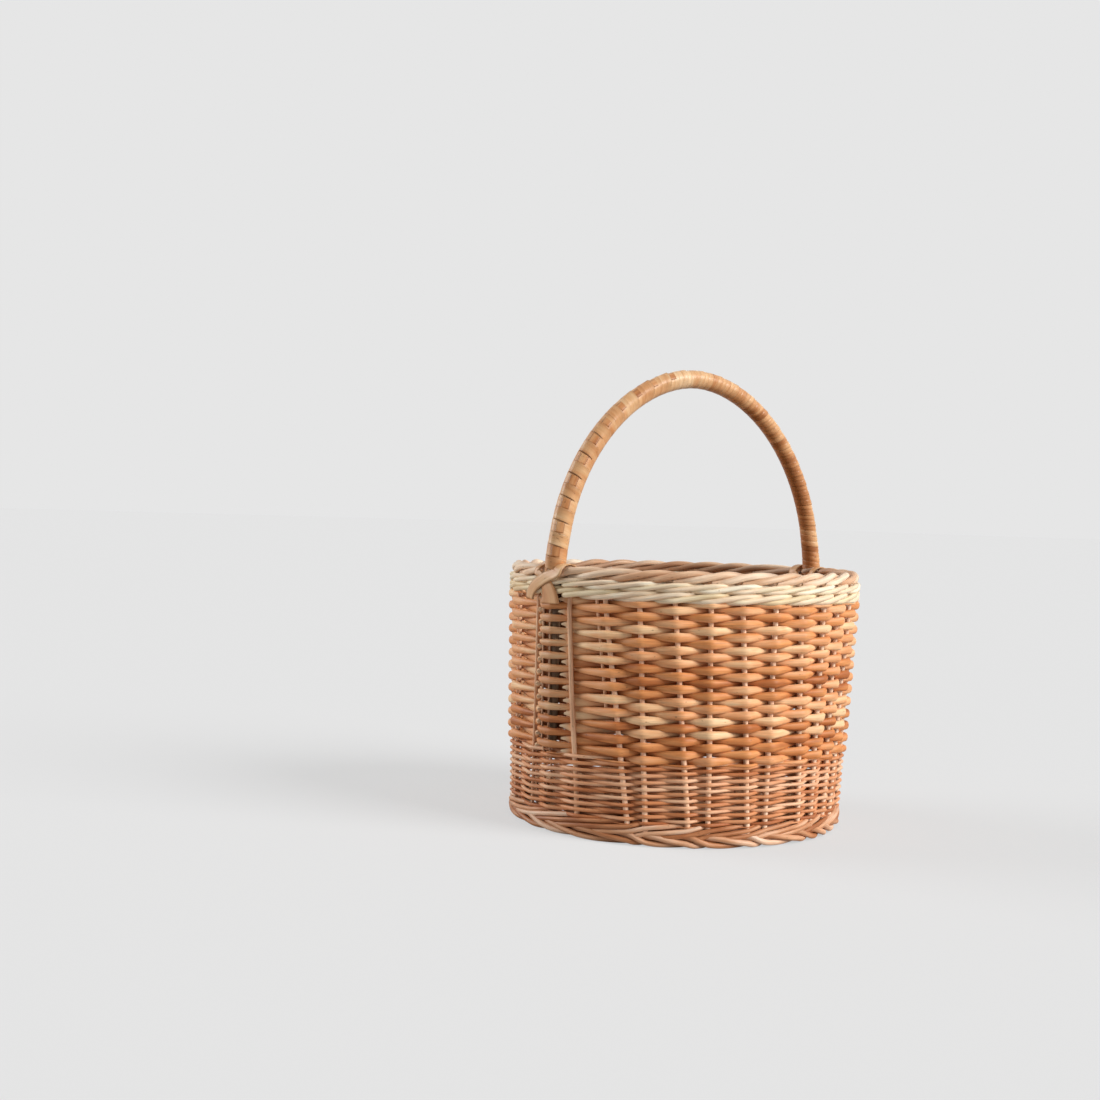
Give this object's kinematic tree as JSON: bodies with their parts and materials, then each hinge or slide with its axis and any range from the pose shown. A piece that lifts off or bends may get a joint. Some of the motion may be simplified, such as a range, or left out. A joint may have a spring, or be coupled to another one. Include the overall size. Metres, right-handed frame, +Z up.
{
  "type": "woven willow basket",
  "caption": "Round woven willow basket with a fine and a coarse band of plain weave, pale waling, rolled rim and foot, and one fixed arched handle wound with split willow.",
  "frame": {"origin": "on the floor, below the middle of the rim and of the whole object", "axes": "+Z up; the handle's arch lies along X and its plane faces -Y, where the front is"},
  "size_m": [0.329, 0.3153, 0.4047],
  "materials": {
    "main_willow": "satin, buff willow",
    "fine_willow": "satin, thin buff willow",
    "stake_willow": "satin, pale buff willow",
    "pale_willow": "satin, white willow",
    "border_willow": "satin, buff willow",
    "split_willow": "smooth split willow",
    "bow_wood": "matt willow with some bark",
    "base_willow": "satin, buff willow"
  },
  "bodies": {
    "root": {"base_stick_1": "base_willow", "base_stick_2": "base_willow", "base_stick_3": "base_willow", "base_stick_4": "base_willow", "base_stick_5": "base_willow", "base_stick_6": "base_willow", "base_stick_7": "base_willow", "base_stick_8": "base_willow", "base_weave_rod_1": "base_willow", "base_weave_rod_2": "base_willow", "border_roll": "border_willow", "fine_weave_rod_1": "fine_willow", "fine_weave_rod_2": "fine_willow", "foot_roll_lower": "border_willow", "foot_roll_upper": "border_willow", "handle_bow": "bow_wood", "handle_wrap": "split_willow", "lashing_1_1": "split_willow", "lashing_1_2": "split_willow", "lashing_2_1": "split_willow", "lashing_2_2": "split_willow", "main_weave_rod_1": "main_willow", "main_weave_rod_2": "main_willow", "stake_01": "stake_willow", "stake_02": "stake_willow", "stake_03": "stake_willow", "stake_04": "stake_willow", "stake_05": "stake_willow", "stake_06": "stake_willow", "stake_07": "stake_willow", "stake_08": "stake_willow", "stake_09": "stake_willow", "stake_10": "stake_willow", "stake_11": "stake_willow", "stake_12": "stake_willow", "stake_13": "stake_willow", "stake_14": "stake_willow", "stake_15": "stake_willow", "stake_17": "stake_willow", "stake_18": "stake_willow", "stake_19": "stake_willow", "stake_20": "stake_willow", "stake_21": "stake_willow", "stake_22": "stake_willow", "stake_23": "stake_willow", "stake_24": "stake_willow", "stake_25": "stake_willow", "stake_26": "stake_willow", "stake_27": "stake_willow", "stake_28": "stake_willow", "stake_29": "stake_willow", "stake_30": "stake_willow", "stake_31": "stake_willow", "wale_row_lower": "pale_willow", "wale_row_upper": "pale_willow"}
  },
  "joints": []
}
